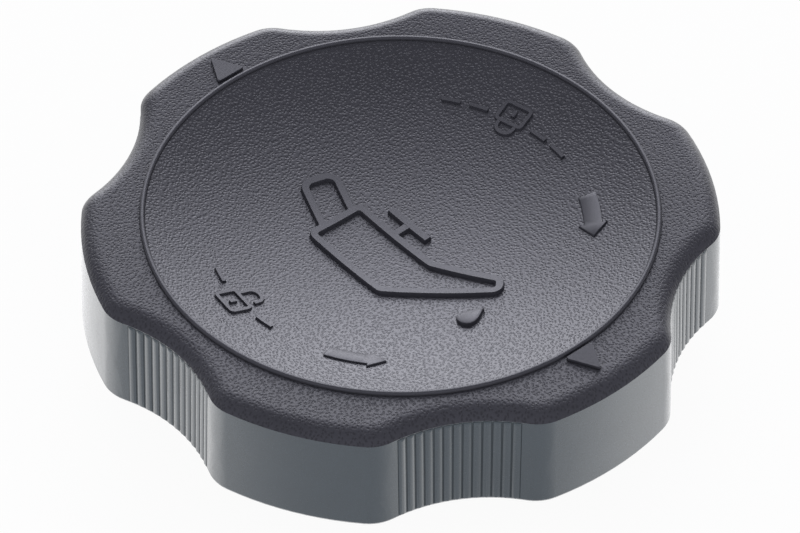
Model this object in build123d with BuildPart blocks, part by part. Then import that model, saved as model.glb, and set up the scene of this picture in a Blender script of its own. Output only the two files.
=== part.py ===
from build123d import *
import os
from math import cos, degrees, radians, sin, tan

# Oil filler cap: a six-lobed, dished turning cap moulded in one piece with its bayonet stub, and a
# rubber gasket. Millimetres, +Z up. The origin is the centre of the gasket's sealing face, where the
# cap meets the filler neck. The two bayonet lugs and the two index marks lie on the X axis.

# Lobed outside
across_lobes = 64.0
lobe_count = 6
valley_depth = 2.95
valley_radius = 17.2
lobe_corner = 4.0
cap_height = 11.8
wall_draft = 1.5
skirt_wall = 2.2

# Rounded top edge, which meets the wall at a crease
edge_radius = 2.4
edge_crease = 29.0

# Dished top with a raised bead and two triangular index marks on the rim
rim_width = 2.9
dish_depth = 4.8
top_wall = 2.4
bead_width = 0.6
bead_crest = 0.4
bead_height = 0.35
index_width = 3.5
index_length = 3.35
index_height = 0.35
index_gap = 0.3

# Serrations in the finger valleys: upright ridges with sloped tops
ridge_count = 13
ridge_pitch = 0.97
ridge_width = 0.95
ridge_crest = 0.28
ridge_height = 0.2
ridge_bond = 0.2
ridge_foot = 0.3
ridge_top_slope = 37.0
ridge_top_drop = 0.05

# Gasket and its seat
gasket_thickness = 3.0
gasket_width = 5.8
gasket_clearance = 0.1
seat_below_rim = 5.2
ring_wall = 1.6
ring_height = 1.6
ring_clearance = 0.3

# Bayonet stub
stub_diameter = 34.0
stub_wall = 2.2
stub_reach = 10.3
stub_lead_in = 0.8
lug_projection = 2.6
lug_width = 14.0
lug_gap = 4.6
lug_height = 4.0
lug_ramp = 3.5
lug_lead_in = 1.2

# Stiffening ribs under the rim
rib_thickness = 1.4
rib_bond = 0.6

# Levels and radii that follow from the sizes above
seat_z = gasket_thickness
rim_z = seat_z + seat_below_rim
skirt_z = rim_z - cap_height
crease_z = rim_z - edge_radius * (1 - sin(radians(edge_crease)))
crown_z = rim_z - 1.5 * edge_radius
ring_z = seat_z - ring_height
lug_z = -lug_gap - lug_height

lobe_radius = across_lobes / 2
valley_floor = lobe_radius - valley_depth
valley_centre = valley_floor + valley_radius
crown_overrun = edge_radius * (1 - cos(radians(edge_crease)))
skirt_flare = (crease_z - skirt_z) * tan(radians(wall_draft))

ridge_foot_z = skirt_z + ridge_foot
ridge_length = (crease_z - ridge_foot_z) / cos(radians(wall_draft))
ridge_span = degrees(ridge_pitch * (ridge_count - 1) / valley_radius)

bead_outer = valley_floor - rim_width
dish_radius = bead_outer - bead_width
dish_sphere = (dish_radius**2 + dish_depth**2) / (2 * dish_depth)
dish_centre_z = rim_z - dish_depth + dish_sphere

stub_radius = stub_diameter / 2
stub_bore = stub_radius - stub_wall
gasket_inner = stub_radius + gasket_clearance
gasket_outer = gasket_inner + gasket_width
ring_inner = gasket_outer + ring_clearance
ring_outer = ring_inner + ring_wall


def lobed_outline(grow):
    """The lobed outline, moved outwards by grow: a circle, finger valleys and rounded corners."""
    with BuildSketch() as outline:
        Circle(lobe_radius + grow)
        with PolarLocations(valley_centre, lobe_count, start_angle=180 / lobe_count):
            Circle(valley_radius - grow, mode=Mode.SUBTRACT)
        fillet(outline.vertices(), lobe_corner + grow)
    return outline.sketch


crown_outline = lobed_outline(crown_overrun)
skirt_outline = lobed_outline(0)
cavity_outline = lobed_outline(-skirt_wall)

# The rounded crown that trims the top of the drafted wall
with BuildPart() as crown:
    with BuildSketch(Plane.XY.offset(skirt_z)):
        Circle(lobe_radius + skirt_flare + edge_radius)
    extrude(amount=crown_z - skirt_z)
    with BuildSketch(Plane.XY.offset(crown_z)):
        add(crown_outline)
    extrude(amount=rim_z - crown_z)
    fillet(crown.faces().sort_by(Axis.Z)[-1].edges(), edge_radius)

# The hollow inside the skirt, drafted like the wall around it
with BuildPart() as cavity:
    with BuildSketch(Plane.XY.offset(skirt_z)):
        add(cavity_outline)
    extrude(amount=cap_height - top_wall)
    draft(cavity.faces().filter_by(GeomType.CYLINDER), Plane.XY.offset(crease_z), wall_draft)

# The hollow of the stub, under a vault that follows the dish
with BuildPart() as hollow:
    with BuildSketch(Plane.XY.offset(-stub_reach)):
        Circle(stub_bore)
    extrude(amount=stub_reach + rim_z)
    with Locations((0, 0, dish_centre_z)):
        Sphere(dish_sphere + top_wall, rotation=(90, 0, 0), mode=Mode.SUBTRACT)

# One ridge of the serrations, on a wall to its +X side, seen from its finger valley's own centre
with BuildPart() as ridge:
    lean = radians(wall_draft)
    slope = radians(ridge_top_slope)
    wall_foot = valley_radius - (crease_z - ridge_foot_z) * tan(lean)
    foot_plane = Plane(
        origin=(wall_foot, 0, ridge_foot_z),
        x_dir=(cos(lean), 0, -sin(lean)),
        z_dir=(sin(lean), 0, cos(lean)),
    )
    with BuildSketch(foot_plane):
        with BuildLine():
            Polyline(
                (ridge_bond, ridge_width / 2),
                (0, ridge_width / 2),
                (-ridge_height, ridge_crest / 2),
                (-ridge_height, -ridge_crest / 2),
                (0, -ridge_width / 2),
                (ridge_bond, -ridge_width / 2),
                close=True,
            )
        make_face()
    extrude(amount=ridge_length + ridge_width)
    ridge_top = (valley_radius, 0, crease_z - ridge_top_drop)
    split(bisect_by=Plane(origin=ridge_top, z_dir=(-cos(slope), 0, sin(slope))), keep=Keep.BOTTOM)

# One bayonet lug, on the +X side, with a ramped upper face that rises against the closing turn
with BuildPart() as lug:
    rise = lug_width * tan(radians(lug_ramp)) / 2
    with BuildSketch(Plane.YZ.offset(stub_radius - stub_wall / 2)):
        with BuildLine():
            Polyline(
                (-lug_width / 2, lug_z),
                (lug_width / 2, lug_z),
                (lug_width / 2, -lug_gap + rise),
                (-lug_width / 2 + lug_lead_in, -lug_gap - rise),
                (-lug_width / 2, -lug_gap - rise - lug_lead_in),
                close=True,
            )
        make_face()
    extrude(amount=lug_projection + stub_wall)
    with BuildSketch(Plane.XY.offset(lug_z)):
        Circle(stub_radius + lug_projection)
    extrude(amount=2 * lug_height, mode=Mode.INTERSECT)

with BuildPart() as cap_body:
    # Drafted lobed block with its rounded top edge
    with BuildSketch(Plane.XY.offset(skirt_z)):
        add(skirt_outline)
    extrude(amount=cap_height)
    draft(cap_body.faces().filter_by(GeomType.CYLINDER), Plane.XY.offset(crease_z), wall_draft)
    add(crown.part, mode=Mode.INTERSECT)
    add(cavity.part, mode=Mode.SUBTRACT)

    # Serrated finger valleys
    with PolarLocations(valley_centre, lobe_count, start_angle=180 / lobe_count):
        with PolarLocations(0, ridge_count, 180 - ridge_span / 2, ridge_span, endpoint=True):
            add(ridge.part)

    # Core under the dish: bayonet stub, gasket seat and the ring around the gasket
    with BuildSketch(Plane.XZ):
        with BuildLine():
            Polyline(
                (0, -stub_reach),
                (stub_radius - stub_lead_in, -stub_reach),
                (stub_radius, -stub_reach + stub_lead_in),
                (stub_radius, seat_z),
                (ring_inner, seat_z),
                (ring_inner, ring_z),
                (ring_outer, ring_z),
                (ring_outer, rim_z - top_wall / 2),
                (0, rim_z - top_wall / 2),
                close=True,
            )
        make_face()
    revolve(axis=Axis.Z)
    add(hollow.part, mode=Mode.SUBTRACT)
    with PolarLocations(0, 2):
        add(lug.part)

    # Ribs from the ring to the skirt, one at each lobe and each valley
    for rib in range(2 * lobe_count):
        skirt_inside = (valley_floor if rib % 2 else lobe_radius) - skirt_wall
        rib_length = skirt_inside + rib_bond - ring_inner
        with BuildSketch(Plane.XY.offset(ring_z)):
            with PolarLocations(0, 1, start_angle=rib * 180 / lobe_count):
                with Locations((ring_inner + rib_length / 2, 0)):
                    Rectangle(rib_length, rib_thickness)
        extrude(amount=rim_z - top_wall / 2 - ring_z)

    # Dish, the index marks on the rim and the bead between them
    with Locations((0, 0, dish_centre_z)):
        Sphere(dish_sphere, rotation=(90, 0, 0), mode=Mode.SUBTRACT)
    with BuildSketch(Plane.XY.offset(rim_z - index_height)):
        with PolarLocations(bead_outer + index_gap, 2):
            Polygon(
                (0, index_width / 2),
                (0, -index_width / 2),
                (index_length, 0),
                align=None,
            )
    extrude(amount=2 * index_height)
    bead_middle = dish_radius + bead_width / 2
    bead_root = bead_width - bead_crest / 2
    with BuildSketch(Plane.XZ):
        with BuildLine():
            Polyline(
                (bead_middle - bead_root, rim_z - bead_height),
                (bead_middle - bead_crest / 2, rim_z + bead_height),
                (bead_middle + bead_crest / 2, rim_z + bead_height),
                (bead_middle + bead_root, rim_z - bead_height),
                close=True,
            )
        make_face()
    revolve(axis=Axis.Z)
cap_body.part.label = "cap_body"

with BuildPart() as gasket:
    with BuildSketch():
        Circle(gasket_outer)
        Circle(gasket_inner, mode=Mode.SUBTRACT)
    extrude(amount=gasket_thickness)
gasket.part.label = "gasket"

os.makedirs("parts", exist_ok=True)
export_step(cap_body.part, "parts/cap_body.step")
export_step(gasket.part, "parts/gasket.step")
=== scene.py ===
from collections import namedtuple
from math import atan2, cos, hypot, pi, radians, sin, sqrt, tan

import bmesh
import bpy
from mathutils import Matrix, Vector


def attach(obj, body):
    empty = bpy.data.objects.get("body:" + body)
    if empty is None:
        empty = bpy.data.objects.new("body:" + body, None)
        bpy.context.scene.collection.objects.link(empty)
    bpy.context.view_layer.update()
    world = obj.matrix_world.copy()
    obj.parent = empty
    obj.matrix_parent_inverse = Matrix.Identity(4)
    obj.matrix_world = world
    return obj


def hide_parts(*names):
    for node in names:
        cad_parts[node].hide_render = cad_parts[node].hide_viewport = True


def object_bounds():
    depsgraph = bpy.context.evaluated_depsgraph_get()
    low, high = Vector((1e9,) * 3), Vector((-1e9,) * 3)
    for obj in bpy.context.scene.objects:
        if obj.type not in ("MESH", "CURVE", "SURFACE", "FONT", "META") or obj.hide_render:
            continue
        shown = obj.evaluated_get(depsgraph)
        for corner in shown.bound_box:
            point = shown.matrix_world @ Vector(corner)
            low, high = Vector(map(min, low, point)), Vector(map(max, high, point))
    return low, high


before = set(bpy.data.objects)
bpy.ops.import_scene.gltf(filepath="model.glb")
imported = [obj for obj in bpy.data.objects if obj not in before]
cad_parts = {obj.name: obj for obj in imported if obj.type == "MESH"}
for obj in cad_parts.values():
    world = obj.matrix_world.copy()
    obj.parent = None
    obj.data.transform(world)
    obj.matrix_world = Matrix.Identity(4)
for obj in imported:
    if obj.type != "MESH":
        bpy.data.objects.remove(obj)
cad_low, cad_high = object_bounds()

# Oil filler cap: the moulded cap with its grained, dished top and satin skirt, the raised signs in the
# dish and the rubber gasket underneath. Lengths are metres, written in millimetres times MM.
MM = 0.001

# Levels and radii of the cap, as modelled
RIM_Z = 8.2 * MM
CREASE_Z = 6.96 * MM
SKIRT_Z = -3.6 * MM
VALLEY_FLOOR = 29.05 * MM
VALLEY_RADIUS = 17.2 * MM
LOBE_COUNT = 6
BEAD_OUTER = 26.15 * MM
DISH_RADIUS = 25.55 * MM
DISH_DEPTH = 4.8 * MM
BEAD_HEIGHT = 0.35 * MM
RIDGE_HEIGHT = 0.2 * MM
WALL_DRAFT = radians(1.5)

VALLEY_CENTRE = VALLEY_FLOOR + VALLEY_RADIUS
DISH_SPHERE = (DISH_RADIUS**2 + DISH_DEPTH**2) / (2 * DISH_DEPTH)
DISH_CENTRE_Z = RIM_Z - DISH_DEPTH + DISH_SPHERE


def dish_z(radius):
    """Height of the dish at a radius from the cap's axis."""
    return DISH_CENTRE_Z - sqrt(DISH_SPHERE**2 - radius**2)


# Node helpers


def plug(tree, value, socket):
    """Links a socket to an input, or sets the input's own value."""
    if isinstance(value, bpy.types.NodeSocket):
        tree.links.new(value, socket)
    else:
        socket.default_value = value


def set_inputs(tree, node, **inputs):
    """Sets a node's inputs by name to values or sockets, with an underscore for each space in a name."""
    for name, value in inputs.items():
        plug(tree, value, node.inputs[name.replace("_", " ")])
    return node


def add_node(tree, kind, **inputs):
    """A new node with its inputs set."""
    return set_inputs(tree, tree.nodes.new(kind), **inputs)


def group_node(tree, group, **inputs):
    """A shared effect placed in a material with its own values."""
    node = tree.nodes.new("ShaderNodeGroup")
    node.node_tree = group
    return set_inputs(tree, node, **inputs)


def math_node(tree, operation, *values):
    """The result of a Math node."""
    node = tree.nodes.new("ShaderNodeMath")
    node.operation = operation
    for socket, value in zip(node.inputs, values):
        plug(tree, value, socket)
    return node.outputs[0]


def vector_node(tree, operation, first, second=None):
    """The result of a Vector Math node, whose second value may be a vector or a scale."""
    node = tree.nodes.new("ShaderNodeVectorMath")
    node.operation = operation
    plug(tree, first, node.inputs[0])
    if second is not None:
        plug(tree, second, node.inputs["Scale"] if operation == "SCALE" else node.inputs[1])
    return node.outputs["Value"] if operation == "DOT_PRODUCT" else node.outputs[0]


def smooth_range(tree, value, low, high, to_low=0.0, to_high=1.0):
    """A value moved smoothly from one range to another."""
    node = tree.nodes.new("ShaderNodeMapRange")
    node.interpolation_type = "SMOOTHSTEP"
    set_inputs(tree, node, Value=value, From_Min=low, From_Max=high, To_Min=to_low, To_Max=to_high)
    return node.outputs["Result"]


def mix_colour(tree, factor, first, second, blend="MIX"):
    """Two colours mixed by a factor."""
    node = tree.nodes.new("ShaderNodeMix")
    node.data_type = "RGBA"
    node.blend_type = blend
    plug(tree, factor, node.inputs[0])
    plug(tree, first, node.inputs[6])
    plug(tree, second, node.inputs[7])
    return node.outputs[2]


def rgba(colour, shade=1.0):
    """A colour as a node takes it, made lighter or darker by shade."""
    return (*(channel * shade for channel in colour), 1.0)


# Grains and clouds that the finishes share. A pit's distances are in pitches of the grain, the share of specks
# is that of a pit's depth, and the satin grain's hollows fade between two levels of its noise
PIT_WANDER = 1.2
PIT_RANDOMNESS = 0.9
PIT_RISE = (0.03, 0.52)
PIT_FADE = (0.1, 0.42)
SPECK_SHARE = 0.6
HOLLOW_FADE = (0.3, 0.55)


def grain_sockets(name):
    """A new group of nodes for a grain: its tree, the scaled place on the surface and its result."""
    tree = bpy.data.node_groups.new(name, "ShaderNodeTree")
    tree.interface.new_socket("Pitch", in_out="INPUT", socket_type="NodeSocketFloat")
    tree.interface.new_socket("Height", in_out="OUTPUT", socket_type="NodeSocketFloat")
    tree.interface.new_socket("Pits", in_out="OUTPUT", socket_type="NodeSocketFloat")
    pitch = tree.nodes.new("NodeGroupInput").outputs["Pitch"]
    place = tree.nodes.new("ShaderNodeTexCoord").outputs["Object"]
    cells = vector_node(tree, "SCALE", place, math_node(tree, "DIVIDE", 1.0, pitch))
    return tree, cells, tree.nodes.new("NodeGroupOutput")


def etched_grain_group():
    """Small pits side by side, as etched in the mould of a face that looks up: a height and a mask."""
    tree, cells, result = grain_sockets("etched_grain")
    drift = add_node(tree, "ShaderNodeTexNoise", Vector=cells, Scale=0.45, Detail=1.0)
    shift = vector_node(tree, "SCALE", drift.outputs["Color"], PIT_WANDER)
    wandering = vector_node(tree, "ADD", cells, shift)
    pits = add_node(
        tree, "ShaderNodeTexVoronoi", Vector=wandering, Scale=1.0, Randomness=PIT_RANDOMNESS
    )
    pits.voronoi_dimensions = "2D"
    from_middle = pits.outputs["Distance"]
    speck = add_node(tree, "ShaderNodeTexNoise", Vector=cells, Scale=1.1, Detail=2.0)
    specks = math_node(tree, "MULTIPLY", speck.outputs["Fac"], SPECK_SHARE)
    height = math_node(tree, "ADD", smooth_range(tree, from_middle, *PIT_RISE), specks)
    mask = smooth_range(tree, from_middle, *PIT_FADE, 1.0, 0.0)
    set_inputs(tree, result, Height=height, Pits=mask)
    return tree


def satin_grain_group():
    """The finest unevenness of a satin surface: a height and a mask of its hollows."""
    tree, cells, result = grain_sockets("satin_grain")
    speck = add_node(tree, "ShaderNodeTexNoise", Vector=cells, Scale=1.0, Detail=2.0).outputs["Fac"]
    mask = smooth_range(tree, speck, *HOLLOW_FADE, 1.0, 0.0)
    set_inputs(tree, result, Height=speck, Pits=mask)
    return tree


def cloudy_group():
    """Soft clouds, as uneven pigment and handling leave them: a factor about 0.5."""
    tree = bpy.data.node_groups.new("cloudy_tone", "ShaderNodeTree")
    tree.interface.new_socket("Size", in_out="INPUT", socket_type="NodeSocketFloat")
    tree.interface.new_socket("Cloud", in_out="OUTPUT", socket_type="NodeSocketFloat")
    size = tree.nodes.new("NodeGroupInput").outputs["Size"]
    place = tree.nodes.new("ShaderNodeTexCoord").outputs["Object"]
    scale = math_node(tree, "DIVIDE", 1.0, size)
    cloud = add_node(tree, "ShaderNodeTexNoise", Vector=place, Scale=scale, Detail=3.0)
    set_inputs(tree, tree.nodes.new("NodeGroupOutput"), Cloud=cloud.outputs["Fac"])
    return tree


ETCHED_GRAIN = etched_grain_group()
SATIN_GRAIN = satin_grain_group()
CLOUDY_TONE = cloudy_group()


# Finishes
DISH_GREY = (0.032, 0.032, 0.040)
# Painted light: the rim and its index marks are the same plastic as the dish, given a lighter grey for the
# light that falls on them
RIM_GREY_PAINTED_LIGHTER = (0.047, 0.047, 0.057)
SMOOTH_GREY = (0.040, 0.040, 0.049)
WALL_GREY = (0.036, 0.046, 0.058)
RUBBER_BLACK = (0.016, 0.016, 0.017)
PLAIN_TINT = (1.0, 1.0, 1.0)
TOP_TINT = (0.9, 0.9, 1.0)
WALL_TINT = (0.7, 0.88, 1.0)
GRAIN_PITCH = 0.36 * MM
SATIN_PITCH = 0.16 * MM
RUBBER_PITCH = 0.5 * MM
SMOOTH_DEPTH = 0.003 * MM
RIM_LEAN = radians(7)
CLOUD_SIZE = 9.0 * MM
CLOUD_RANGE = (0.3, 0.7)
CLOUD_SHADES = (0.92, 1.08)
PIT_DULLNESS = 0.08
SHEEN_ROUGHNESS = 0.3

# Grooves between ridges and feet of raised forms, by a mark on the mesh that grows towards the ground; painted
# shade darkens them there, and they are duller
GROOVE_MARK = "groove_shade"
GROOVE_RANGE = (0.55, 0.95)
GROOVE_PAINTED_SHADE = 0.2
GROOVE_DULLNESS = 0.8

# A thin shine over a surface: its weight grows from least to most while Facing goes from start to end
Glaze = namedtuple("Glaze", "start end least most roughness ior")
NO_GLAZE = Glaze(start=0.0, end=1.0, least=0.0, most=0.0, roughness=0.1, ior=1.5)
RIM_GLAZE = Glaze(start=0.36, end=0.66, least=0.0, most=0.8, roughness=0.35, ior=1.5)
WALL_GLAZE = Glaze(start=0.28, end=0.53, least=0.25, most=1.0, roughness=0.06, ior=2.1)


def leaning_normal(tree, lean):
    """The surface's normal, turned a little to the cap's axis as if the face were slightly hollow."""
    place = tree.nodes.new("ShaderNodeTexCoord").outputs["Object"]
    outwards = vector_node(tree, "NORMALIZE", vector_node(tree, "MULTIPLY", place, (1, 1, 0)))
    turned = add_node(tree, "ShaderNodeVectorTransform", Vector=outwards)
    turned.convert_from = "OBJECT"
    turned.convert_to = "WORLD"
    inwards = vector_node(tree, "SCALE", turned.outputs["Vector"], -tan(lean))
    own = tree.nodes.new("ShaderNodeNewGeometry").outputs["Normal"]
    return vector_node(tree, "NORMALIZE", vector_node(tree, "ADD", own, inwards))


def moulded_material(
    name,
    colour,
    grain,
    pitch,
    depth,
    pit_painted_shade,
    roughness,
    tint=PLAIN_TINT,
    shine=0.5,
    glaze=NO_GLAZE,
    sheen=0.0,
    lean=0.0,
):
    """A moulded plastic or rubber: clouded colour, a grain, and pits and dull grooves darkened by painted
    shade.
    """
    material = bpy.data.materials.new(name)
    material.use_nodes = True
    tree = material.node_tree
    surface = group_node(tree, grain, Pitch=pitch)
    pits = surface.outputs["Pits"]
    marked = tree.nodes.new("ShaderNodeAttribute")
    marked.attribute_name = GROOVE_MARK
    groove_shade = smooth_range(tree, marked.outputs["Fac"], *GROOVE_RANGE)

    cloud = group_node(tree, CLOUDY_TONE, Size=CLOUD_SIZE).outputs["Cloud"]
    darker, lighter = (rgba(colour, shade) for shade in CLOUD_SHADES)
    body = mix_colour(tree, smooth_range(tree, cloud, *CLOUD_RANGE), darker, lighter)
    # Painted shade: the colour is darker in the pits and hollows of the grain, where shade falls
    pit_shaded = mix_colour(tree, pits, body, rgba(colour, pit_painted_shade))
    # Painted shade: the colour darkens towards the foot of each groove and raised form, where shade falls
    tone = mix_colour(tree, groove_shade, pit_shaded, rgba(colour, GROOVE_PAINTED_SHADE))

    gloss = smooth_range(tree, pits, 0.0, 1.0, roughness, roughness + PIT_DULLNESS)
    dull = math_node(tree, "MULTIPLY", groove_shade, GROOVE_DULLNESS)
    facing = tree.nodes.new("ShaderNodeLayerWeight").outputs["Facing"]
    glancing = smooth_range(tree, facing, glaze.start, glaze.end, glaze.least, glaze.most)
    polish = math_node(tree, "MULTIPLY", glancing, math_node(tree, "SUBTRACT", 1.0, groove_shade))

    height = surface.outputs["Height"]
    bump = add_node(tree, "ShaderNodeBump", Height=height, Distance=depth, Strength=1.0)
    if lean:
        set_inputs(tree, bump, Normal=leaning_normal(tree, lean))
    set_inputs(
        tree,
        tree.nodes["Principled BSDF"],
        Base_Color=tone,
        Roughness=math_node(tree, "MAXIMUM", gloss, dull),
        Coat_Weight=polish,
        Coat_Roughness=glaze.roughness,
        Coat_IOR=glaze.ior,
        Specular_Tint=rgba(tint),
        Specular_IOR_Level=shine,
        Sheen_Weight=sheen,
        Sheen_Roughness=SHEEN_ROUGHNESS,
        Normal=bump.outputs["Normal"],
    )
    return material


GRAINED_DISH = moulded_material(
    "grained_dish",
    DISH_GREY,
    ETCHED_GRAIN,
    GRAIN_PITCH,
    depth=0.027 * MM,
    pit_painted_shade=0.7,
    roughness=0.33,
    tint=TOP_TINT,
    shine=0.6,
)
GRAINED_RIM = moulded_material(
    "grained_rim",
    RIM_GREY_PAINTED_LIGHTER,
    ETCHED_GRAIN,
    GRAIN_PITCH,
    depth=0.04 * MM,
    pit_painted_shade=0.65,
    roughness=0.42,
    tint=TOP_TINT,
    shine=0.34,
    glaze=RIM_GLAZE,
    lean=RIM_LEAN,
)
SMOOTH_RIM = moulded_material(
    "smooth_rim",
    RIM_GREY_PAINTED_LIGHTER,
    SATIN_GRAIN,
    SATIN_PITCH,
    depth=SMOOTH_DEPTH,
    pit_painted_shade=0.9,
    roughness=0.45,
    tint=TOP_TINT,
    shine=0.38,
)
SMOOTH_RAISED = moulded_material(
    "smooth_raised",
    SMOOTH_GREY,
    SATIN_GRAIN,
    SATIN_PITCH,
    depth=SMOOTH_DEPTH,
    pit_painted_shade=0.9,
    roughness=0.38,
    tint=TOP_TINT,
    shine=0.6,
)
SATIN_WALL = moulded_material(
    "satin_wall",
    WALL_GREY,
    SATIN_GRAIN,
    SATIN_PITCH,
    depth=0.004 * MM,
    pit_painted_shade=0.85,
    roughness=0.2,
    tint=WALL_TINT,
    glaze=WALL_GLAZE,
    sheen=0.5,
)
PLAIN_UNDERSIDE = moulded_material(
    "plain_underside",
    SMOOTH_GREY,
    SATIN_GRAIN,
    SATIN_PITCH,
    depth=SMOOTH_DEPTH,
    pit_painted_shade=0.9,
    roughness=0.4,
    tint=TOP_TINT,
)
MATT_RUBBER = moulded_material(
    "matt_rubber",
    RUBBER_BLACK,
    SATIN_GRAIN,
    RUBBER_PITCH,
    depth=0.01 * MM,
    pit_painted_shade=0.7,
    roughness=0.7,
)


# The moulded cap and its gasket. The zones of the cap have these finishes, in this order
DISH, BEAD, RIM, MARK, WALL, UNDERSIDE = range(6)
ZONE_FINISHES = (
    GRAINED_DISH,
    SMOOTH_RAISED,
    GRAINED_RIM,
    SMOOTH_RIM,
    SATIN_WALL,
    PLAIN_UNDERSIDE,
)

# Angles between faces, and how far large faces rule the shading, of 100 at most
SHARP_EDGE = radians(22)
RIDGE_SOFTNESS = radians(60)
CREST_ANGLE = radians(12)
LARGE_FACE_WEIGHT = 100

# Limits of a face's normal: the least share up or outwards of one that looks there, and the most upward
# share of a steep and of an upright one
FACING = 0.3
STEEP = 0.7
UPRIGHT = 0.5

# What the dressed cap has beyond the modelled one
RIDGE_FLATTENING = 0.09 * MM
CREST_SHARE = 0.8
CREST_ROUNDING = 0.09 * MM
FOOT_ROUNDING = 0.25 * MM
BEAD_ROUNDING = 0.15 * MM
MARK_CORNER = 0.35 * MM
MARK_ROUNDING = 0.06 * MM
GASKET_ROUNDING = 0.2 * MM

# Slacks
LEVEL_SLACK = 0.02 * MM
SKIRT_SLACK = 1.0 * MM
MERGE_DISTANCE = 0.001 * MM


def finish_piece(shape, name, materials):
    """Makes a bmesh a finished piece of the cap."""
    mesh = bpy.data.meshes.new(name)
    shape.to_mesh(mesh)
    shape.free()
    for material in materials:
        mesh.materials.append(material)
    piece = bpy.data.objects.new(name, mesh)
    bpy.context.scene.collection.objects.link(piece)
    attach(piece, "root")
    return piece


def merge_points(shape):
    """Merges points that lie on one another, and edges and faces without size."""
    bmesh.ops.remove_doubles(shape, verts=shape.verts, dist=MERGE_DISTANCE)
    bmesh.ops.dissolve_degenerate(shape, edges=shape.edges, dist=MERGE_DISTANCE)


def merged_copy(node):
    """A copy of a modelled node as one closed, smooth-shaded surface with sharp edges."""
    shape = bmesh.new()
    shape.from_mesh(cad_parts[node].data)
    merge_points(shape)
    for face in shape.faces:
        face.smooth = True
        face.material_index = 0
    for edge in shape.edges:
        edge.smooth = edge.calc_face_angle(pi) < SHARP_EDGE
    return shape


def middle_of(edge):
    """The middle of an edge."""
    return (edge.verts[0].co + edge.verts[1].co) / 2


def valley_angle(point):
    """The angle round the cap at which the nearest finger valley lies."""
    step = 2 * pi / LOBE_COUNT
    return (round(atan2(point.y, point.x) / step - 0.5) + 0.5) * step


def valley_distance(point):
    """Distance from the nearest finger valley's own axis."""
    angle = valley_angle(point)
    return hypot(point.x - VALLEY_CENTRE * cos(angle), point.y - VALLEY_CENTRE * sin(angle))


def ridge_rise(point):
    """How far a point of a finger valley stands out from the drafted wall between the ridges."""
    wall = VALLEY_RADIUS - (CREASE_Z - point.z) * tan(WALL_DRAFT)
    return wall - valley_distance(point)


def on_skirt(point, slack=0.0):
    """Whether a point lies beyond the dish and its bead, between the skirt's foot and the crease."""
    return hypot(point.x, point.y) > BEAD_OUTER and SKIRT_Z < point.z < CREASE_Z - slack


def cap_zone(face):
    """Which zone of the cap a face is in, as each zone has its own finish."""
    centre = face.calc_center_median()
    radius = hypot(centre.x, centre.y)
    if DISH_RADIUS < radius < BEAD_OUTER + LEVEL_SLACK and centre.z > RIM_Z - DISH_DEPTH / 4:
        return BEAD
    if centre.z > RIM_Z + LEVEL_SLACK:
        return MARK
    looks_up = face.normal.z > FACING
    if looks_up and centre.z > CREASE_Z - LEVEL_SLACK:
        return DISH if radius < DISH_RADIUS else RIM
    if looks_up and radius < DISH_RADIUS and centre.z > dish_z(radius) - LEVEL_SLACK:
        return DISH
    outwards = centre.to_2d().normalized().dot(face.normal.to_2d())
    return WALL if radius > VALLEY_FLOOR - SKIRT_SLACK and outwards > FACING else UNDERSIDE


def foot_share(rise, height):
    """1 at the foot of a raised form and 0 at its top."""
    return min(1.0, max(0.0, 1 - rise / height))


def mark_groove_shade(shape):
    """Marks the foot of each ridge, of the bead and of the index marks, which painted shade makes darker than
    the rest.
    """
    mark = shape.loops.layers.float.new(GROOVE_MARK)
    for face in shape.faces:
        highest = max(ridge_rise(vert.co) for vert in face.verts)
        if on_skirt(face.calc_center_median()) and highest > RIDGE_HEIGHT / 2:
            for corner in face.loops:
                corner[mark] = foot_share(ridge_rise(corner.vert.co), RIDGE_HEIGHT)
        elif face.material_index in (BEAD, MARK) and abs(face.normal.z) < STEEP:
            for corner in face.loops:
                corner[mark] = foot_share(corner.vert.co.z - RIM_Z, BEAD_HEIGHT)


def flatten_ridges(shape):
    """Makes the ridges of the finger valleys a little shallower, with broad crests and narrow grooves."""
    for vert in shape.verts:
        if on_skirt(vert.co) and ridge_rise(vert.co) > RIDGE_HEIGHT * CREST_SHARE:
            angle = valley_angle(vert.co)
            axis = Vector((VALLEY_CENTRE * cos(angle), VALLEY_CENTRE * sin(angle), vert.co.z))
            vert.co -= (axis - vert.co).normalized() * RIDGE_FLATTENING


def on_serrations(edge):
    """Whether an edge of the cap lies on the ridges of a finger valley."""
    middle = middle_of(edge)
    return on_skirt(middle, LEVEL_SLACK) and valley_distance(middle) < VALLEY_RADIUS + LEVEL_SLACK


def soften_ridges(shape):
    """Makes the ridges' convex edges smooth and the others sharp, and gives back those to be rounded."""
    crests = []
    for edge in filter(on_serrations, shape.edges):
        angle = edge.calc_face_angle(pi)
        edge.smooth = edge.is_convex and angle < RIDGE_SOFTNESS
        if edge.smooth and angle > CREST_ANGLE:
            crests.append(edge)
    return crests


def raised_edges(shape, outside):
    """The upper edges of the bead, or of the index marks outside it."""
    found = []
    for edge in shape.edges:
        level = all(abs(vert.co.z - RIM_Z - BEAD_HEIGHT) < LEVEL_SLACK for vert in edge.verts)
        beyond = all(hypot(vert.co.x, vert.co.y) > BEAD_OUTER for vert in edge.verts)
        if level and beyond == outside and edge.calc_face_angle(0) > SHARP_EDGE:
            found.append(edge)
    return found


def mark_corners(shape):
    """The upright edges of the index marks."""
    found = []
    for edge in shape.edges:
        low, high = sorted((vert.co for vert in edge.verts), key=lambda place: place.z)
        upright = (high - low).to_2d().length < LEVEL_SLACK and high.z > RIM_Z + BEAD_HEIGHT / 2
        if upright and hypot(low.x, low.y) > BEAD_OUTER and edge.calc_face_angle(0) > SHARP_EDGE:
            found.append(edge)
    return found


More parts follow.
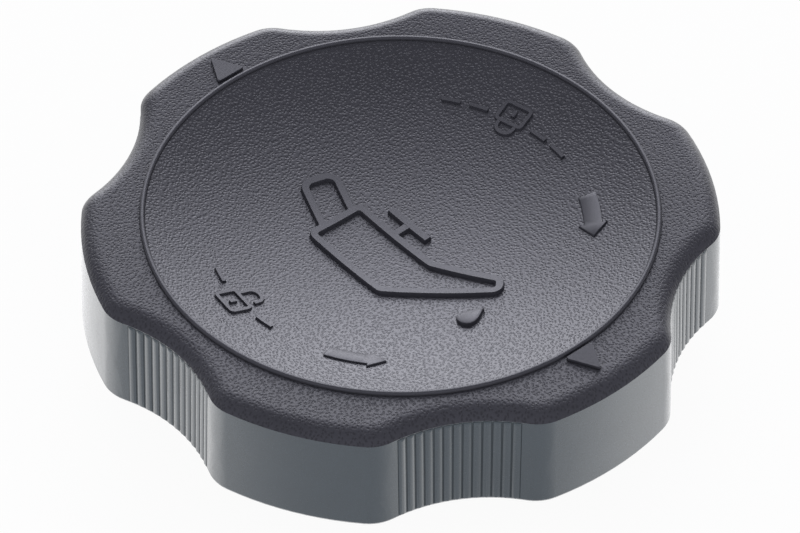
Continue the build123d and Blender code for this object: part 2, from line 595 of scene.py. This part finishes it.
def skirt_foot(shape):
    """The outer edges of the skirt's lower face."""
    found = []
    for edge in shape.edges:
        level = all(abs(vert.co.z - SKIRT_Z) < LEVEL_SLACK for vert in edge.verts)
        faces = [face for face in edge.link_faces if abs(face.normal.z) < UPRIGHT]
        if level and len(faces) == 1:
            if faces[0].normal.to_2d().dot(middle_of(edge).to_2d()) > 0:
                found.append(edge)
    return found


def round_edges(shape, edges, radius, segments=2, clamp=True):
    """Rounds edges a little, as a moulding's are."""
    bmesh.ops.bevel(
        shape,
        geom=edges,
        offset=radius,
        segments=segments,
        profile=0.5,
        affect="EDGES",
        material=-1,
        clamp_overlap=clamp,
    )


def make_cap_shell():
    """The cap itself, with its finishes by zone, soft serrations and small roundings."""
    shape = merged_copy("cap_body")
    shape.normal_update()
    for face in shape.faces:
        face.material_index = cap_zone(face)
    crests = soften_ridges(shape)
    mark_groove_shade(shape)
    flatten_ridges(shape)
    round_edges(shape, crests, CREST_ROUNDING)
    round_edges(shape, skirt_foot(shape), FOOT_ROUNDING)
    round_edges(shape, mark_corners(shape), MARK_CORNER, segments=4)
    round_edges(shape, raised_edges(shape, outside=True), MARK_ROUNDING)
    round_edges(shape, raised_edges(shape, outside=False), BEAD_ROUNDING, segments=3)
    merge_points(shape)
    for edge in shape.edges:
        edge.smooth = edge.smooth and edge.calc_face_angle(pi) < RIDGE_SOFTNESS
    shell = finish_piece(shape, "cap_shell", ZONE_FINISHES)
    weighted = shell.modifiers.new("even_shading", "WEIGHTED_NORMAL")
    weighted.keep_sharp = True
    weighted.weight = LARGE_FACE_WEIGHT
    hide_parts("cap_body")


def make_gasket_ring():
    """The rubber gasket, with rounded edges."""
    shape = merged_copy("gasket")
    round_edges(shape, [edge for edge in shape.edges if not edge.smooth], GASKET_ROUNDING)
    for face in shape.faces:
        face.smooth = True
    ring = finish_piece(shape, "gasket_ring", (MATT_RUBBER,))
    ring.modifiers.new("even_shading", "WEIGHTED_NORMAL")
    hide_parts("gasket")


make_cap_shell()
make_gasket_ring()


# Raised signs in the dish: an oil can in the middle, and round it a ring with a closed and an open lock
# and an arrow beyond each lock. Their feet are sunk in the dish
SIGN_ROOT = 0.25 * MM
SIGN_MERGE = 0.005 * MM
SIGN_SHARP_EDGE = radians(40)
PLATE_EDGE = radians(60)

# A stroke's section, in shares of its width and relief, the steps along it, and the share of the relief that
# a stroke has where it runs into a higher one
STROKE_SIDE = 0.5
STROKE_CREST = 0.36
STROKE_FLANK = 0.2
STROKE_STEP = 0.9 * MM
BEND_STEP = radians(15)
LOWER = 0.95

# The oil can and its drop, which narrows to its tip by a power of a sine: its belly is the greatest half width
# that the power gives
CAN_CENTRE = (0.0, -0.6 * MM)
CAN_STROKE = 1.0 * MM
CAN_RELIEF = 0.45 * MM
DROP_PLACE = (13.4 * MM, -1.7 * MM, 0)
DROP_WIDTH = 2.1 * MM
DROP_LENGTH = 3.3 * MM
DROP_TAPER = 1.4
DROP_BELLY = 0.7
DROP_ROUNDING = 0.2 * MM

# The ring of signs
RING_RADIUS = 19.3 * MM
FINE_STROKE = 0.5 * MM
FINE_RELIEF = 0.25 * MM
CLOSED_LOCK_ANGLE = radians(103.5)
OPEN_LOCK_ANGLE = radians(-97)
BOW_SIDE = 0.95 * MM
BOW_FOOT = 0.5 * MM
BOW_TOP = 1.75 * MM
OPEN_BOW_LIFT = 0.75 * MM
DASH_DEGREES = 6
CLOSING_ARROW_ANGLE = radians(62.5)
OPENING_ARROW_ANGLE = radians(-63)
ARROW_WIDTH = 1.8 * MM
ARROW_HEAD_WIDTH = 2.9 * MM
ARROW_HEAD_LENGTH = 1.8 * MM
ARROW_RELIEF = 0.22 * MM
ARROW_SHAFT = radians(12.7)
ARROW_STEPS = 8
ARROW_ROUNDING = 0.1 * MM
CLOCKWISE, ANTICLOCKWISE = -1, 1


def in_mm(*points):
    """Points written in millimetres."""
    return [(across * MM, up * MM) for across, up in points]


def verts_among(parts):
    """The vertices among the parts that an operator gives back."""
    return [part for part in parts if isinstance(part, bmesh.types.BMVert)]


def face_among(parts):
    """The first face among the parts that an operator gives back."""
    return next(part for part in parts if isinstance(part, bmesh.types.BMFace))


def stroke_section(shape, start, heading, width, relief):
    """The section of a raised stroke, as a face across its path: upright foot and narrower crest."""
    across = Vector((-heading.y, heading.x, 0))
    flank = relief * STROKE_FLANK
    corners = (
        (-STROKE_SIDE, -SIGN_ROOT),
        (STROKE_SIDE, -SIGN_ROOT),
        (STROKE_SIDE, flank),
        (STROKE_CREST, relief),
        (-STROKE_CREST, relief),
        (-STROKE_SIDE, flank),
    )
    places = [start + across * width * side + Vector((0, 0, level)) for side, level in corners]
    return shape.faces.new([shape.verts.new(place) for place in places])


def sweep_run(shape, face, heading, length):
    """Carries a stroke straight on, in short steps so that it can follow the dish."""
    steps = max(1, round(length / STROKE_STEP))
    for _ in range(steps):
        carried = bmesh.ops.extrude_face_region(shape, geom=[face])["geom"]
        bmesh.ops.translate(shape, verts=verts_among(carried), vec=heading * (length / steps))
        face = face_among(carried)
    return face


def sweep_bend(shape, face, centre, turn):
    """Carries a stroke round a bend."""
    steps = max(2, round(abs(turn) / BEND_STEP))
    carried = bmesh.ops.spin(
        shape, geom=[face], cent=centre, axis=(0, 0, 1), angle=turn, steps=steps
    )
    return face_among(carried["geom_last"])


def sweep_stroke(points, bend, width, relief, closed=False):
    """A raised stroke along flat points, rounded at its corners, as a bmesh that isn't on the dish yet."""
    shape = bmesh.new()
    path = [Vector((*point, 0)) for point in points]
    if closed:
        middle = (path[0] + path[1]) / 2
        path = [middle, *path[1:], path[0], middle]
    headings = [(after - before).normalized() for before, after in zip(path, path[1:])]
    turns = [-old.to_2d().angle_signed(new.to_2d(), 0) for old, new in zip(headings, headings[1:])]
    trims = [0, *(bend * abs(sin(turn) / (1 + cos(turn))) for turn in turns), 0]
    face = stroke_section(shape, path[0], headings[0], width, relief)
    for index, heading in enumerate(headings):
        whole = (path[index + 1] - path[index]).length
        face = sweep_run(shape, face, heading, whole - trims[index] - trims[index + 1])
        if index < len(turns):
            turn = turns[index]
            side = Vector((-heading.y, heading.x, 0)) * (1 if turn > 0 else -1)
            centre = path[index + 1] - heading * trims[index + 1] + side * bend
            face = sweep_bend(shape, face, centre, turn)
    return shape


def raised_plate(shape, relief, rounding):
    """Gives a flat shape its thickness and rounds its upper edges."""
    raised = bmesh.ops.extrude_face_region(shape, geom=shape.faces[:])["geom"]
    bmesh.ops.translate(shape, verts=verts_among(raised), vec=(0, 0, SIGN_ROOT + relief))
    bmesh.ops.translate(shape, verts=shape.verts, vec=(0, 0, -SIGN_ROOT))
    bmesh.ops.recalc_face_normals(shape, faces=shape.faces)
    upper = [edge for edge in shape.edges if all(vert.co.z > relief / 2 for vert in edge.verts)]
    rim = [edge for edge in upper if edge.calc_face_angle(0) > PLATE_EDGE]
    round_edges(shape, rim, rounding, clamp=False)
    return shape


def join_shapes(shapes):
    """Several bmeshes as one."""
    whole = bmesh.new()
    for shape in shapes:
        mesh = bpy.data.meshes.new("part_of_sign")
        shape.to_mesh(mesh)
        shape.free()
        whole.from_mesh(mesh)
        bpy.data.meshes.remove(mesh)
    return whole


def finish_sign(shapes, name, place):
    """Puts a flat sign in its place on the dish and finishes it."""
    shape = join_shapes(shapes)
    bmesh.ops.remove_doubles(shape, verts=shape.verts, dist=SIGN_MERGE)
    inner = [face for face in shape.faces if all(len(edge.link_faces) > 2 for edge in face.edges)]
    bmesh.ops.delete(shape, geom=inner, context="FACES_ONLY")
    bmesh.ops.recalc_face_normals(shape, faces=shape.faces)
    bmesh.ops.transform(shape, verts=shape.verts, matrix=place)
    for vert in shape.verts:
        vert.co.z += dish_z(hypot(vert.co.x, vert.co.y))
    for face in shape.faces:
        face.smooth = True
    for edge in shape.edges:
        edge.smooth = edge.calc_face_angle(pi) < SIGN_SHARP_EDGE
    finish_piece(shape, name, (SMOOTH_RAISED,))


def ring_place(angle):
    """Where a sign stands on the ring of signs, with its top towards the middle of the dish."""
    quarter_turn = Matrix.Rotation(pi / 2, 4, "Z")
    return Matrix.Rotation(angle, 4, "Z") @ Matrix.Translation((RING_RADIUS, 0, 0)) @ quarter_turn


def make_drop():
    """An oil drop with its tip upwards."""
    shape = bmesh.new()
    bmesh.ops.create_circle(shape, cap_ends=True, segments=28, radius=1.0)
    for vert in shape.verts:
        turn = atan2(vert.co.x, vert.co.y)
        vert.co.x *= abs(sin(turn / 2)) ** DROP_TAPER * 0.5 * DROP_WIDTH / DROP_BELLY
        vert.co.y *= 0.5 * DROP_LENGTH
    raised_plate(shape, CAN_RELIEF, DROP_ROUNDING)
    bmesh.ops.translate(shape, verts=shape.verts, vec=DROP_PLACE)
    return shape


def make_oil_can_sign():
    """An oil can with its spout, handle and filler, and a drop under the spout."""
    can = in_mm((-6.5, -5.6), (4.0, -5.6), (12.4, 2.8), (11.2, 4.0), (4.4, 0.8), (-6.5, 0.8))
    handle = in_mm((-6.5, -0.2), (-11.4, 1.6), (-12.2, -1.9), (-6.5, -4.0))
    neck = in_mm((-1.4, 0.8), (-1.4, 3.0))
    filler = in_mm((-4.2, 3.0), (1.4, 3.0))
    shapes = [
        sweep_stroke(can, bend=0.7 * MM, width=CAN_STROKE, relief=CAN_RELIEF, closed=True),
        sweep_stroke(handle, bend=1.1 * MM, width=CAN_STROKE, relief=CAN_RELIEF * LOWER),
        sweep_stroke(neck, bend=0.5 * MM, width=CAN_STROKE, relief=CAN_RELIEF * LOWER),
        sweep_stroke(filler, bend=0.5 * MM, width=CAN_STROKE, relief=CAN_RELIEF),
        make_drop(),
    ]
    finish_sign(shapes, "oil_can_sign", Matrix.Translation((*CAN_CENTRE, 0)))


def make_dash(middle):
    """A dash beside a lock, along the ring, whose middle is this many degrees from the lock's."""
    dash = bmesh.new()
    ring_middle = Vector((0, RING_RADIUS, 0))
    face = stroke_section(dash, Vector((0, 0, 0)), Vector((1, 0, 0)), FINE_STROKE, FINE_RELIEF)
    sweep_bend(dash, face, ring_middle, radians(DASH_DEGREES))
    turn = Matrix.Rotation(radians(middle - DASH_DEGREES / 2), 4, "Z")
    centre = Matrix.Translation(ring_middle)
    bmesh.ops.transform(dash, verts=dash.verts, matrix=centre @ turn @ centre.inverted())
    return dash


def make_lock_sign(name, angle, lift, dashes):
    """A lock whose bow is lifted by lift, between dashes."""
    body = in_mm((-1.5, -1.7), (1.5, -1.7), (1.5, 0.5), (-1.5, 0.5))
    bow = [
        (-BOW_SIDE, BOW_FOOT),
        (-BOW_SIDE, BOW_TOP + lift),
        (BOW_SIDE, BOW_TOP + lift),
        (BOW_SIDE, BOW_FOOT + lift),
    ]
    keyhole = in_mm((0, -1.0), (0, -0.3))
    shapes = [
        sweep_stroke(body, bend=0.35 * MM, width=FINE_STROKE, relief=FINE_RELIEF, closed=True),
        sweep_stroke(bow, bend=0.8 * MM, width=FINE_STROKE, relief=FINE_RELIEF * LOWER),
        sweep_stroke(keyhole, bend=0.3 * MM, width=FINE_STROKE, relief=FINE_RELIEF),
        *(make_dash(middle) for middle in dashes),
    ]
    finish_sign(shapes, name, ring_place(angle))


def make_arrow(name, start, way):
    """An arrow along the ring from a start angle, clockwise or anticlockwise."""
    shape = bmesh.new()
    sides = (-0.5, 0.5)
    ends = [shape.verts.new((RING_RADIUS + side * ARROW_WIDTH, 0, 0)) for side in sides]
    spun = bmesh.ops.spin(
        shape,
        geom=[shape.edges.new(ends)],
        cent=(0, 0, 0),
        axis=(0, 0, 1),
        angle=way * ARROW_SHAFT,
        steps=ARROW_STEPS,
    )
    inner, outer = sorted(verts_among(spun["geom_last"]), key=lambda vert: vert.co.length)
    turn = Matrix.Rotation(way * ARROW_SHAFT, 4, "Z")
    barb_places = [Vector((RING_RADIUS + side * ARROW_HEAD_WIDTH, 0, 0)) for side in sides]
    barbs = [shape.verts.new(turn @ place) for place in barb_places]
    tip = shape.verts.new(turn @ Vector((RING_RADIUS, way * ARROW_HEAD_LENGTH, 0)))
    for corners in ((inner, outer, tip), (barbs[0], inner, tip), (outer, barbs[1], tip)):
        shape.faces.new(corners)
    bmesh.ops.recalc_face_normals(shape, faces=shape.faces)
    raised_plate(shape, ARROW_RELIEF, ARROW_ROUNDING)
    finish_sign([shape], name, Matrix.Rotation(start, 4, "Z"))


make_oil_can_sign()
make_lock_sign("closed_lock_sign", CLOSED_LOCK_ANGLE, lift=0.0, dashes=(-20, -11, 11, 20))
make_lock_sign("open_lock_sign", OPEN_LOCK_ANGLE, lift=OPEN_BOW_LIFT, dashes=(-12, 12))
make_arrow("closing_arrow", CLOSING_ARROW_ANGLE, CLOCKWISE)
make_arrow("opening_arrow", OPENING_ARROW_ANGLE, ANTICLOCKWISE)


# Studio: floor, light and camera. The camera is fitted to the photograph's outline of the cap
IMAGE_WIDTH = 800
SENSOR_WIDTH = 36.0
CAMERA_AZIMUTH = radians(48.935)
CAMERA_ELEVATION = radians(43.980)
CAMERA_ROLL = radians(0.190)
CAMERA_RIGHT = -0.066 * MM
CAMERA_UP = -5.558 * MM
CAMERA_DISTANCE = 587.194 * MM
CAMERA_CLIP = 0.01
PIXELS_PER_MM = 10.000

# Directions from the cap: back to the camera, to the picture's right, and away along the floor
BACK = Vector(
    (
        sin(CAMERA_AZIMUTH) * cos(CAMERA_ELEVATION),
        -cos(CAMERA_AZIMUTH) * cos(CAMERA_ELEVATION),
        sin(CAMERA_ELEVATION),
    )
)
RIGHT = Vector((cos(CAMERA_AZIMUTH), sin(CAMERA_AZIMUTH), 0))
FAR = Vector((-sin(CAMERA_AZIMUTH), cos(CAMERA_AZIMUTH), 0))

# The brightest part of the surroundings is behind the cap, this far above the floor, and narrower than high
GLOW_ELEVATION = radians(20)
GLOW_NARROWING = 1.8
GLOW_AXIS = FAR * cos(GLOW_ELEVATION) + Vector((0, 0, sin(GLOW_ELEVATION)))

# Brightness of the surroundings, from straight opposite the glow's middle, 0, to its middle, 1
SKY_LEVELS = (
    (0.0, 0.8),
    (0.2, 0.8),
    (0.4, 0.75),
    (0.6, 0.5),
    (0.7, 0.25),
    (0.76, 0.15),
    (0.82, 0.5),
    (0.88, 1.7),
    (0.94, 2.8),
    (0.98, 3.7),
    (1.0, 4.5),
)
SKY_PEAK = 4.5
SKY_TINT = (0.97, 0.975, 1.03)

# The white of the horizon fades between these upward or downward shares of a direction
HORIZON = (0.03, 0.09)

FLOOR_HALF = 6.0
FLOOR_GLOW = 0.95
FLOOR_PAINT = (0.9, 0.9, 0.9)
WHITE = (1.0, 1.0, 1.0)


def make_floor():
    """A white floor that the cap stands on, which keeps a faint shadow."""
    shape = bmesh.new()
    place = Matrix.Translation((0, 0, cad_low.z))
    bmesh.ops.create_grid(shape, x_segments=1, y_segments=1, size=FLOOR_HALF, matrix=place)
    mesh = bpy.data.meshes.new("floor")
    shape.to_mesh(mesh)
    shape.free()
    material = bpy.data.materials.new("white_floor")
    material.use_nodes = True
    tree = material.node_tree
    tree.nodes.remove(tree.nodes["Principled BSDF"])
    paint = add_node(tree, "ShaderNodeBsdfDiffuse", Color=rgba(FLOOR_PAINT))
    glow = add_node(tree, "ShaderNodeEmission", Color=rgba(WHITE), Strength=1.0)
    rays = tree.nodes.new("ShaderNodeLightPath").outputs
    seen = math_node(tree, "MAXIMUM", rays["Is Camera Ray"], rays["Is Glossy Ray"])
    seen = math_node(tree, "MAXIMUM", seen, rays["Is Transmission Ray"])
    share = math_node(tree, "MULTIPLY", seen, FLOOR_GLOW)
    mix = add_node(tree, "ShaderNodeMixShader", Fac=share)
    tree.links.new(paint.outputs[0], mix.inputs[1])
    tree.links.new(glow.outputs[0], mix.inputs[2])
    tree.links.new(mix.outputs[0], tree.nodes["Material Output"].inputs["Surface"])
    mesh.materials.append(material)
    floor = bpy.data.objects.new("floor", mesh)
    bpy.context.scene.collection.objects.link(floor)


def make_surroundings():
    """Soft studio surroundings: a glow behind the cap, white at the horizon and dimmer elsewhere."""
    world = bpy.data.worlds.new("studio")
    bpy.context.scene.world = world
    world.use_nodes = True
    tree = world.node_tree
    direction = tree.nodes.new("ShaderNodeTexCoord").outputs["Generated"]
    sideways = vector_node(tree, "DOT_PRODUCT", direction, RIGHT)
    excess = math_node(tree, "MULTIPLY", sideways, GLOW_NARROWING - 1)
    spread = vector_node(tree, "ADD", direction, vector_node(tree, "SCALE", RIGHT, excess))
    narrowed = vector_node(tree, "NORMALIZE", spread)
    towards = vector_node(tree, "DOT_PRODUCT", narrowed, GLOW_AXIS)

    share = math_node(tree, "MULTIPLY_ADD", towards, 0.5, 0.5)
    ramp = add_node(tree, "ShaderNodeValToRGB", Fac=share)
    stops = ramp.color_ramp.elements
    for place, _ in SKY_LEVELS[1:-1]:
        stops.new(place)
    for stop, (place, level) in zip(stops, SKY_LEVELS):
        stop.position = place
        stop.color = rgba(SKY_TINT, level / SKY_PEAK)

    height = add_node(tree, "ShaderNodeSeparateXYZ", Vector=direction).outputs["Z"]
    horizon = smooth_range(tree, math_node(tree, "ABSOLUTE", height), *HORIZON, 1.0, 0.0)
    white = rgba(WHITE, 1 / SKY_PEAK)
    sky = mix_colour(tree, horizon, ramp.outputs["Color"], white, "LIGHTEN")
    set_inputs(tree, tree.nodes["Background"], Color=sky, Strength=SKY_PEAK)


def make_light(name, side, away, up, size, power):
    """A soft square lamp that faces the cap: how far to the side, behind it and above it."""
    data = bpy.data.lights.new(name, "AREA")
    data.shape = "SQUARE"
    data.size = size
    data.energy = power
    lamp = bpy.data.objects.new(name, data)
    lamp.location = RIGHT * side + FAR * away + Vector((0, 0, up))
    lamp.rotation_mode = "QUATERNION"
    lamp.rotation_quaternion = lamp.location.to_track_quat("Z", "Y")
    bpy.context.scene.collection.objects.link(lamp)


def make_camera():
    """The camera at the photograph's viewpoint."""
    up = BACK.cross(RIGHT)
    image_right = RIGHT * cos(CAMERA_ROLL) + up * sin(CAMERA_ROLL)
    image_up = up * cos(CAMERA_ROLL) - RIGHT * sin(CAMERA_ROLL)
    data = bpy.data.cameras.new("camera")
    data.sensor_width = SENSOR_WIDTH
    data.lens = PIXELS_PER_MM / MM * CAMERA_DISTANCE * SENSOR_WIDTH / IMAGE_WIDTH
    data.clip_start = CAMERA_CLIP
    camera = bpy.data.objects.new("camera", data)
    aim = Vector((0, 0, RIM_Z)) + image_right * CAMERA_RIGHT + image_up * CAMERA_UP
    turn = Matrix((image_right, image_up, BACK)).transposed().to_4x4()
    camera.matrix_world = Matrix.Translation(aim + BACK * CAMERA_DISTANCE) @ turn
    bpy.context.scene.collection.objects.link(camera)
    bpy.context.scene.camera = camera


make_floor()
make_surroundings()
make_light("back_softbox", side=-0.1, away=1.15, up=0.36, size=0.6, power=0.7)
make_camera()
bpy.context.scene.view_settings.view_transform = "Standard"
